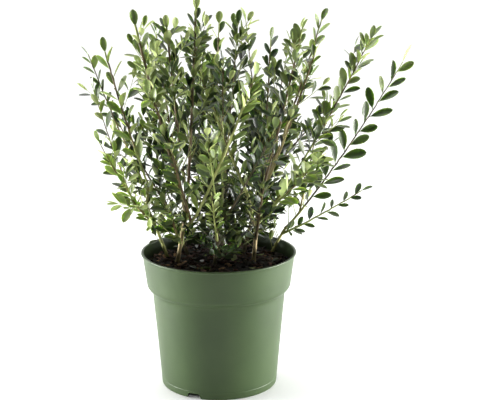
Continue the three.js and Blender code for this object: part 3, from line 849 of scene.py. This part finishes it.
def grow_leaves(mass, space, leaves):
    draw = random.Random(mass.index + SEEDS.leaves)
    shoots = [Record(path=mass.path, kind="leader")] + mass.twigs
    strength = LIGHT_GROWTH.least + LIGHT_GROWTH.gain * min(LIGHT_GROWTH.limit, mass.lightness)
    for shoot in shoots:
        path, kind = shoot.path, shoot.kind
        habit = mass.habit if kind == "leader" else {}
        rows = habit.get("rows", REGION_ROWS[mass.region])
        if rows:
            mass.turn = 0
        low_size, high_size = habit.get("leaf", LEAF_LENGTHS[kind])
        lightness = mass.lightness - shade_at(path.at(SHADE_POINT))
        spray = spray_tint(lightness, draw)
        first = first_leaf(mass, kind, path, habit)
        count = max(2, round((1 - first) * path.length / habit.get("spacing", LEAF_SPACING[kind])))
        for step in range(count):
            share = first + (LAST_LEAF_SHARE - first) * (step + LEAF_START_SPREAD * draw.random()) / count
            size = (low_size + (high_size - low_size) * share) * draw.uniform(*LEAF_SIZES) * strength
            lean = habit.get("lean", LEAF_ANGLE)
            lean += (NEAR_TIP_ANGLE - lean) * share ** 3
            tint = spray if draw.random() < SPRAY_TINT_SHARE else spray_tint(lightness, draw)
            if share > YOUNG_FROM and draw.random() < YOUNG_SHARE:
                tint = min(YOUNG, tint + 1)
            # Above the fade share leaves are painted one tint darker, a painted shade against the strong side
            # light
            if share > habit.get("fade", 1):
                tint = max(INNER_PAINTED_SHADE, tint - 1)
            grow_leaf(mass, path, share, lean, size, tint, space, draw, leaves, rows, "rows" in habit)
        end_size = high_size * draw.uniform(*END_LEAF_SIZES)
        grow_leaf(mass, path, END_LEAF_SHARE, END_LEAF_ANGLE, end_size, spray, space, draw, leaves)


def grow_on_limb(name, limb, space, leaves, twigs):
    """Sparse leaves and short twigs low on the limbs, above the potting mix."""
    draw = random.Random(name)
    path = limb.path
    hidden = name in LOW_LEAF_SPACING
    first = LOW_LEAVES_FROM.get(name, BARE_LIMBS[name.split("_")[0]])
    own = Record(name=name, index=-1, turn=draw.uniform(0, 360), tips=[])
    tints = LOW_LEAF_TINTS["hidden" if hidden else "open"]
    count = round(path.length * (1 - first) / LOW_LEAF_SPACING.get(name, LEAF_SPACING["limb"]))
    for step in range(count):
        share = first + (1 - first) * (step + draw.random()) / count
        own.turn += GOLDEN_ANGLE
        angle = radians(draw.uniform(*LOW_TWIGS.angle))
        heading = leaning(path, share, radians(own.turn), angle)
        start = path.at(share)
        reach = draw.uniform(*LOW_TWIGS.reach)
        tip = start + heading * (limb_radius(limb, share) + reach) + UP * LOW_TWIGS.rise * reach
        if not space.fits([start.lerp(tip, LOW_TWIGS.probe), tip], -1, 0, LOW_TWIGS.gap):
            continue
        middle = start.lerp(tip, 0.5) + heading
        twig_path = Path(start, middle, tip, (tip - start).cross(path.direction(share)))
        # Twigs on hidden limbs are painted dark, a painted shade
        twigs.append(Record(path=twig_path, radius=LOW_TWIGS.radius, tint=DARK if hidden else GREEN))
        for spot, lean in LOW_LEAVES.places:
            grow_leaf(own, twig_path, spot, lean, draw.uniform(*LOW_LEAVES.length), draw.choice(tints),
                      space, draw, leaves)


# Leaves as meshes

def leaf_mesh(leaf):
    rows = np.array(LEAF_SHAPE)
    columns = np.array(LEAF_COLUMNS)
    root, heading, face, side = map(np.array, (leaf.root, leaf.heading, leaf.face, leaf.side))
    length, width = leaf.length, leaf.width
    reach = rows[:, 0:1] * length
    out = rows[:, 1:2] * width * columns[None]
    lift = leaf.cup * width * rows[:, 1:2] * columns[None] ** 2 - leaf.bend * length * rows[:, 0:1] ** 2
    skin = (root + reach[..., None] * heading + out[..., None] * side + lift[..., None] * face)
    depth = LEAF_THICKNESS * (1 - LEAF_EDGE_THINNING * columns[None] ** 2)
    depth = depth * np.minimum(1, LEAF_END_THICKNESS * rows[:, 1:2])
    under = skin - depth[..., None] * face
    tip = root + heading * length - face * (leaf.bend * length)
    return np.concatenate([skin.reshape(-1, 3), under.reshape(-1, 3), [tip, tip]])


def leaf_faces():
    rows, columns = len(LEAF_SHAPE), len(LEAF_COLUMNS)
    half = rows * columns
    faces, sides = [], []
    for row in range(rows - 1):
        for column in range(columns - 1):
            a = row * columns + column
            b, c, d = a + 1, a + columns + 1, a + columns
            faces.append((a, d, c, b))
            sides.append(0)
            faces.append((half + a, half + b, half + c, half + d))
            sides.append(1)
    for column in range(columns - 1):
        a = (rows - 1) * columns + column
        faces.append((a, 2 * half, a + 1))
        sides.append(0)
        faces.append((half + a, half + a + 1, 2 * half + 1))
        sides.append(1)
    return faces, sides


def make_leaves(leaves, name, materials, replaced):
    faces, sides = leaf_faces()
    shape = Shape()
    for leaf in leaves:
        shape.add(leaf_mesh(leaf), faces, [2 * leaf.tint + side for side in sides])
    shape.piece(name, materials, replaced)


# Twigs and bark as meshes

def leader_tint(share, lightness, habit):
    if "stem" in habit and share < habit.get("stem_to", STEM_TINT_TO):
        return habit["stem"]
    if share < GREEN_TO and lightness > GREEN_ABOVE:
        return GREEN
    if share < TAN_TO:
        return TAN if lightness > DARK_BELOW else DARK
    return BROWN if share < BROWN_TO else GREEN


def tapering(foot, taper, tip, steps):
    return [max(tip, foot * (1 - taper * index / steps)) for index in range(steps + 1)]


def add_leader(shape, mass, wander):
    path, habit = mass.path, mass.habit
    steps = max(LEADER_TUBE.least_steps, round(path.length / LEADER_TUBE.step))
    points = path.points(steps)
    side = LEADER_TUBE.wander
    for index in range(2, steps - 1):
        points[index] += Vector([wander.uniform(-side, side) for axis in range(3)])
    foot = mass.radius * habit.get("girth", 1)
    radii = tapering(foot, habit.get("taper", LEADER_TAPER), LEADER_TUBE.tip, steps)
    shape.add(*tube(points, radii, LEADER_TUBE.sides, path.steady,
                    lambda share: leader_tint(share, mass.lightness, habit)))


def add_twig(shape, twig, tint):
    path = twig.path
    steps = max(TWIG_TUBE.least_steps, round(path.length / TWIG_TUBE.step))
    radii = tapering(twig.radius, TWIG_TUBE.taper, TWIG_TUBE.tip, steps)
    shape.add(*tube(path.points(steps), radii, TWIG_TUBE.sides, path.steady, lambda share: tint))


def make_twigs(masses, loose, materials):
    shape = Shape()
    for mass in masses:
        wander = random.Random(mass.index + SEEDS.tubes)
        add_leader(shape, mass, wander)
        for twig in mass.twigs:
            light = mass.lightness > GREEN_ABOVE
            add_twig(shape, twig, GREEN if light else MIXED_TINTS[wander.randrange(3)])
    for twig in loose:
        add_twig(shape, twig, twig.tint)
    shape.piece("fine_twigs", materials, [mass.name for mass in masses])


def bark_radius(limb, kind, share, seed):
    """The limb's radius with its knots, and for a bough the collar where it leaves the stem."""
    along = share * limb.path.length
    from_knot = (along + seed) % KNOTS.apart - KNOTS.apart / 2
    knot = KNOTS.height * exp(-(from_knot / KNOTS.length) ** 2)
    collar = FORK_COLLAR.height * exp(-along / FORK_COLLAR.length) if kind == "bough" else 0
    return limb_radius(limb, share) + knot + collar


def make_bark(limbs, kind, name, materials):
    shape = Shape()
    chosen = {limb_name: limb for limb_name, limb in limbs.items() if limb_name.startswith(kind)}
    for limb_name, limb in chosen.items():
        path = limb.path
        steps = round(path.length / BARK_STEP)
        seed = random.Random(limb_name).uniform(0, KNOTS.shift)
        radii = [bark_radius(limb, kind, index / steps, seed) for index in range(steps + 1)]

        def relief(point):
            return sum(
                depth * noise.noise(Vector((point.x * across, point.y * across, point.z * along + seed)))
                for across, along, depth in BARK_WAVES
            )
        tint = BARK_NAMES.index(limb.tint)
        shape.add(*tube(path.points(steps), radii, BARK_SIDES, path.steady, lambda share: tint, relief))
    shape.piece(name, materials, chosen)


# Pot

COLLAR_FOOT = POT_HEIGHT - COLLAR_DEPTH
BODY_TOP = COLLAR_FOOT - COLLAR_STEP_HEIGHT
FLOOR_TOP = FOOT_RING_HEIGHT + FLOOR_THICKNESS


def body_radius(height):
    return FOOT_RADIUS + (BODY_TOP_RADIUS - FOOT_RADIUS) * height / BODY_TOP


def collar_radius(height):
    share = (height - COLLAR_FOOT) / COLLAR_DEPTH
    return COLLAR_FOOT_RADIUS + (RIM_RADIUS - LIP_WIDTH - COLLAR_FOOT_RADIUS) * share


def pot_inside(height):
    if height >= COLLAR_FOOT:
        return collar_radius(height) - WALL
    if height <= BODY_TOP:
        return body_radius(height) - WALL
    share = (height - BODY_TOP) / COLLAR_STEP_HEIGHT
    return body_radius(BODY_TOP) + (COLLAR_FOOT_RADIUS - body_radius(BODY_TOP)) * share - WALL


def rounded(profile, steps=4, cut_limit=0.45, hold=1.5, hold_limit=0.48):
    """Corners given as (radius, height, rounding) become small arcs with a ring to hold each side."""
    made = [Vector(profile[0][:2])]
    for before, corner, after in zip(profile, profile[1:], profile[2:]):
        point = Vector(corner[:2])
        back, ahead = Vector(before[:2]) - point, Vector(after[:2]) - point
        cut = min(corner[2], cut_limit * back.length, cut_limit * ahead.length)
        first, last = point + back.normalized() * cut, point + ahead.normalized() * cut
        made.append(point + back.normalized() * min(hold * cut, hold_limit * back.length))
        made += [bezier(first, point, last, step / steps) for step in range(steps + 1)]
        made.append(point + ahead.normalized() * min(hold * cut, hold_limit * ahead.length))
    made.append(Vector(profile[-1][:2]))
    return made


def pot_profile():
    """Radius, height and rounding of each corner, from the pad under the pot up and back inside."""
    ring_inside = FOOT_RADIUS - FOOT_RING_WIDTH
    seam = body_radius(SEAM.height)
    return [
        (0, 0, 0),
        (CENTRE_PAD_RADIUS, 0, 0.8),
        (CENTRE_PAD_RADIUS + FLOOR_DRAFT, FOOT_RING_HEIGHT, 0.8),
        (ring_inside - FLOOR_DRAFT, FOOT_RING_HEIGHT, 0.8),
        (ring_inside, 0, 0.8),
        (FOOT_RADIUS, 0, 1.8),
        (body_radius(SEAM.height - SEAM.below), SEAM.height - SEAM.below, 0.3),
        (seam - SEAM.depth, SEAM.height - SEAM.half, 0.3),
        (seam - SEAM.lip, SEAM.height + SEAM.half, 0.4),
        (BODY_TOP_RADIUS, BODY_TOP, 3.4),
        (COLLAR_FOOT_RADIUS, COLLAR_FOOT, 3.4),
        (collar_radius(POT_HEIGHT - LIP_DEPTH), POT_HEIGHT - LIP_DEPTH, 0.5),
        (RIM_RADIUS, POT_HEIGHT - LIP_DEPTH + LIP_WIDTH, 0.6),
        (RIM_RADIUS, POT_HEIGHT, 0.9),
        (RIM_RADIUS - LIP_WIDTH - WALL, POT_HEIGHT, 0.8),
        (pot_inside(COLLAR_FOOT), COLLAR_FOOT, 2),
        (pot_inside(BODY_TOP), BODY_TOP, 1.2),
        (pot_inside(FLOOR_TOP), FLOOR_TOP, 1.2),
        (0, FLOOR_TOP, 0),
    ]


def smooth_but_sharp_edges(thing):
    thing.data.polygons.foreach_set("use_smooth", [True] * len(thing.data.polygons))
    shell = bmesh.new()
    shell.from_mesh(thing.data)
    for edge in shell.edges:
        if len(edge.link_faces) == 2 and edge.calc_face_angle() > radians(SHARP_EDGE):
            edge.smooth = False
    shell.to_mesh(thing.data)
    shell.free()


def make_pot(material):
    rings = rounded(pot_profile())[1:-1]
    points = [(x, y, ring.y) for ring in rings for x, y in around(POT_SIDES, ring.x)]
    faces = ring_faces(len(rings), POT_SIDES)
    faces.append(tuple(range(POT_SIDES - 1, -1, -1)))
    faces.append(tuple(range(len(points) - POT_SIDES, len(points))))
    pot = add_object("pot_shell", mesh_of("pot_shell", points, faces))
    for cutter in pot_cutters():
        cut = pot.modifiers.new("cut", "BOOLEAN")
        cut.operation, cut.object, cut.solver = "DIFFERENCE", cutter, "EXACT"
        bpy.context.view_layer.objects.active = pot
        bpy.ops.object.modifier_apply(modifier=cut.name)
        bpy.data.objects.remove(cutter)
    smooth_but_sharp_edges(pot)
    pot.data.materials.append(material)
    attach(pot, "root")
    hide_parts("pot")


def prism(name, outline, place):
    """A closed bar: outline is (across, up) points, and place turns a point of either end face."""
    count = len(outline)
    points = [place(across, up, end) for end in (0, 1) for across, up in outline]
    faces = [tuple(range(count)), tuple(2 * count - 1 - index for index in range(count))]
    for index in range(count):
        after = (index + 1) % count
        faces.append((index, count + index, count + after, after))
    mesh = mesh_of(name, points, faces)
    solid = bmesh.new()
    solid.from_mesh(mesh)
    bmesh.ops.recalc_face_normals(solid, faces=solid.faces)
    solid.to_mesh(mesh)
    solid.free()
    return add_object(name, mesh)


def pot_cutters():
    cutters = []
    half_mouth, half_top = NOTCHES.mouth / 2, NOTCHES.top / 2
    outline = [(-half_mouth, -NOTCHES.below), (half_mouth, -NOTCHES.below), (half_mouth, 0),
               (half_top, NOTCHES.height), (-half_top, NOTCHES.height), (-half_mouth, 0)]
    for index in range(NOTCHES.count):
        angle = radians(NOTCHES.first + index * 360 / NOTCHES.count)

        def across_ring(across, up, end):
            radius = FOOT_RADIUS + (end - 0.5) * NOTCHES.depth
            return (radius * cos(angle) - across * sin(angle),
                    radius * sin(angle) + across * cos(angle), up)
        cutters.append(prism("notch", outline, across_ring))
    hole = around(DRAIN_HOLES.sides, DRAIN_HOLES.radius)
    for direction in around(DRAIN_HOLES.count):
        centre = Vector(direction) * DRAIN_HOLES.circle

        def through_floor(across, up, end):
            height = FOOT_RING_HEIGHT - DRAIN_HOLES.below + end * DRAIN_HOLES.depth
            return (centre.x + across, centre.y + up, height)
        cutters.append(prism("drain", hole, through_floor))
    return cutters


# Potting mix: relief over the solid's top, with bark chips, splinters and fallen leaves

def soil_height(x, y):
    place = Vector((x, y, 0))
    relief = sum(share * noise.noise(place * pitch) for pitch, share in SOIL_WAVES)
    return SOIL_LEVEL + SOIL_CROWN + SOIL_RELIEF * relief


def make_soil_top(material):
    edge = pot_inside(SOIL_LEVEL) - SOIL_EDGE.gap
    width = SOIL_EDGE.width
    points = []
    for ring in range(SOIL_RINGS + 1):
        radius = edge * (ring + 0.5) / (SOIL_RINGS + 0.5)
        drop = SOIL_EDGE.drop * max(0, (radius - edge + width) / width) ** 2
        points += [(x, y, soil_height(x, y) - drop) for x, y in around(SOIL_SIDES, radius)]
    skirt = around(SOIL_SIDES, edge - SOIL_EDGE.skirt)
    points += [(x, y, SOIL_LEVEL - SOIL_EDGE.depth) for x, y in skirt]
    faces = ring_faces(SOIL_RINGS + 2, SOIL_SIDES)
    faces.append(tuple(range(SOIL_SIDES - 1, -1, -1)))
    shape = Shape()
    shape.add(points, [tuple(reversed(face)) for face in faces], [0] * len(faces))
    shape.piece("soil_relief", [material])


def on_soil(radius, angle, lift):
    """A point over the potting mix, at a distance and in a direction from its centre."""
    x, y = radius * cos(angle), radius * sin(angle)
    return Vector((x, y, soil_height(x, y) + lift))


def slanting(spin, slant):
    return Vector((cos(spin) * cos(slant), sin(spin) * cos(slant), sin(slant)))


def chip(shape, draw, centre, length, width, thick, tint):
    """An irregular splinter or flake of bark lying at a random slant."""
    along = slanting(draw.uniform(0, tau), draw.gauss(0, CHIP_SLANT))
    across = UP.cross(along).normalized()
    across, up = rolled(across, along.cross(across), draw.gauss(0, CHIP_ROLL))
    points = []
    for end in CHIP_ENDS:
        taper = draw.uniform(*CHIP_END_WIDTH) if abs(end) == 1 else 1
        sway = draw.uniform(-CHIP_SWAY, CHIP_SWAY) * width
        for side, height in ((-1, -1), (1, -1), (1, 1), (-1, 1)):
            jitter = draw.uniform(*CHIP_JITTER)
            aside = side * width / 2 * taper * jitter + sway
            points.append(centre + along * (end * length / 2) + across * aside
                          + up * (height * thick / 2 * jitter))
    faces = [(3, 2, 1, 0), (12, 13, 14, 15)] + ring_faces(4, 4)
    shape.add(points, faces, [tint] * len(faces))


def make_chips(materials):
    draw = random.Random(SEEDS.chips)
    shape = Shape()
    edge = pot_inside(SOIL_LEVEL) - CHIP_EDGE_GAP
    longest_flake = FLAKES.length[1]
    for index in range(CHIP_COUNT):
        kind = FLAKES if draw.random() < FLAKES.share else SPLINTERS
        length = draw.uniform(*kind.length)
        if length < longest_flake:
            width = length * draw.uniform(*FLAKES.width)
        else:
            width = draw.uniform(*SPLINTERS.width)
        radius = (edge - length / 2) * sqrt(draw.random())
        centre = on_soil(radius, draw.uniform(0, tau), draw.uniform(*CHIP_LIFT))
        chip(shape, draw, centre, length, width, draw.uniform(*CHIP_THICKNESS),
             draw.choices(range(len(CHIP_MIX)), weights=CHIP_MIX)[0])
    shape.piece("bark_chips", materials)


def fallen_leaves():
    draw = random.Random(SEEDS.fallen)
    leaves = []
    rule = FALLEN_LEAVES
    for index in range(rule.count):
        root = on_soil(draw.uniform(*rule.radius), draw.uniform(0, tau), rule.lift)
        heading = slanting(draw.uniform(0, tau), draw.uniform(*rule.slant))
        side = heading.cross(UP).normalized()
        face = side.cross(heading)
        length = draw.uniform(*rule.length)
        leaves.append(Record(
            root=root, heading=heading, side=side,
            face=face if draw.random() < rule.face_up else -face,
            length=length, width=length * rule.width,
            cup=draw.uniform(*rule.cup), bend=draw.uniform(*rule.bend),
            tint=draw.choice((DEEP, MID, LIGHT)),
        ))
    return leaves


# Assembly

make_pot(surface(
    "pot_plastic", (srgb(53, 68, 41), srgb(57, 73, 44), srgb(62, 78, 48)), scale=14, roughness=0.42,
    bump=0.12, bump_scale=900, depth=0.0003, Specular_IOR_Level=0.32, Sheen_Weight=0.03, Sheen_Roughness=0.4,
))

soil_dark = surface("potting_mix", (srgb(13, 10, 9), srgb(23, 18, 15), srgb(36, 28, 23)), scale=180,
                    roughness=0.95, bump=1, bump_scale=520, depth=0.001, detail=8)
frame_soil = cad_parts["soil"]
if not frame_soil.data.materials:
    frame_soil.data.materials.append(soil_dark)
for holder in frame_soil.material_slots:
    holder.material = soil_dark
make_soil_top(soil_dark)
make_chips(chip_materials())

limbs = make_limbs()
masses = start_masses(limbs)
space = Space(masses, limbs)
leaves_by_region = {}
for mass in masses:
    grow_twigs(mass, space)
    grow_leaves(mass, space, leaves_by_region.setdefault(mass.region, []))
limb_leaves, limb_twigs = [], []
for limb_name, limb in limbs.items():
    grow_on_limb(limb_name, limb, space, limb_leaves, limb_twigs)

leaf_looks = leaf_materials()
for region, leaves in leaves_by_region.items():
    covered = [mass.name for mass in masses if mass.region == region]
    make_leaves(leaves, f"leaves_{region}", leaf_looks, covered)
make_leaves(limb_leaves + fallen_leaves(), "leaves_low", leaf_looks, ())
make_twigs(masses, limb_twigs, twig_materials())
bark_looks = bark_materials()
make_bark(limbs, "stem", "stem_bark", bark_looks)
make_bark(limbs, "bough", "bough_bark", bark_looks)

# Floor, light and camera: the floor in millimetres, the others in metres

HALF_FLOOR = 14000
corners = [(x * HALF_FLOOR, y * HALF_FLOOR, 0) for x, y in ((-1, -1), (1, -1), (1, 1), (-1, 1))]
floor = add_object("floor", mesh_of("floor", corners, [(0, 1, 2, 3)]))
floor_look = bpy.data.materials.new("floor")
floor_look.use_nodes = True
floor_tree = floor_look.node_tree
set_node(floor_tree, floor_tree.nodes["Principled BSDF"], Base_Color=(0.9, 0.9, 0.9, 1), Roughness=0.9)
floor.data.materials.append(floor_look)


def aim(thing, place, target):
    thing.location = place
    thing.rotation_mode = "QUATERNION"
    thing.rotation_quaternion = (Vector(target) - Vector(place)).to_track_quat("-Z", "Y")


# Softboxes: place, target, size, power in watts and spread in degrees
SOFTBOXES = {
    "left_light": ((-1.6, 0.1, 0.14), (0, 0, 0.14), (1, 0.26), 68, 180),
    "right_light": ((1.6, 0, 0.14), (0, 0, 0.14), (1, 0.26), 74, 180),
    "top_light": ((-0.5, 0.2, 1.9), (0, 0, 0.3), (0.5, 0.5), 7, 180),
    "front_light": ((0, -0.7, 0.35), (0, -0.24, 0), (0.2, 0.1), 0.12, 22),
}
for name, (place, target, size, power, spread) in SOFTBOXES.items():
    box = bpy.data.lights.new(name, "AREA")
    box.shape, box.energy = "RECTANGLE", power
    box.size, box.size_y = size
    box.spread = radians(spread)
    aim(add_object(name, box), place, target)

sun_data = bpy.data.lights.new("overhead_light", "SUN")
sun_data.energy = 0.8
sun_data.angle = radians(70)
aim(add_object("overhead_light", sun_data), (0, 0, 0), (0.05, -0.3, -1))

world = bpy.data.worlds.new("studio")
bpy.context.scene.world = world
world.use_nodes = True
sky = world.node_tree
parts = add_node(sky, "SeparateXYZ", Vector=add_node(sky, "TexCoord")["Generated"])


def sky_math(operation, *values):
    node = sky.nodes.new("ShaderNodeMath")
    node.operation = operation
    for socket, value in zip(node.inputs, values):
        give(sky, socket, value)
    return node.outputs["Value"]


def sky_fade(value, span, strengths):
    return add_node(sky, "MapRange", Value=value, From_Min=span[0], From_Max=span[1],
                    To_Min=strengths[0], To_Max=strengths[1])["Result"]


# The studio's walls: dim in front, bright behind, and a brighter band low on both sides
behind = sky_fade(parts["Y"], (-0.25, 0.2), (0.02, 1.5))
sideways = sky_fade(sky_math("ABSOLUTE", parts["X"]), (0.6, 0.85), (0, 1))
low = sky_fade(parts["Z"], (0.35, 0.6), (1, 0))
band = sky_math("MULTIPLY", sky_math("MULTIPLY", sideways, low), 0.4)
set_node(sky, sky.nodes["Background"], Strength=sky_math("ADD", behind, band), Color=(1, 1, 1, 1))

CAMERA_DISTANCE = 1.6
CAMERA_ELEVATION = radians(14.53)
CAMERA_LENS = 94.35
ORBIT_HEIGHT = 0.2
AIM = Vector((0.0385, 0.0075, 0.2291))
camera_data = bpy.data.cameras.new("camera")
camera_data.lens = CAMERA_LENS
camera_data.sensor_width = 36
camera = add_object("camera", camera_data)
camera_place = (0, -CAMERA_DISTANCE * cos(CAMERA_ELEVATION),
                ORBIT_HEIGHT + CAMERA_DISTANCE * sin(CAMERA_ELEVATION))
aim(camera, camera_place, AIM)
bpy.context.scene.camera = camera
view = bpy.context.scene.view_settings
view.view_transform = "Standard"
view.exposure = 0.12
view.gamma = 0.88
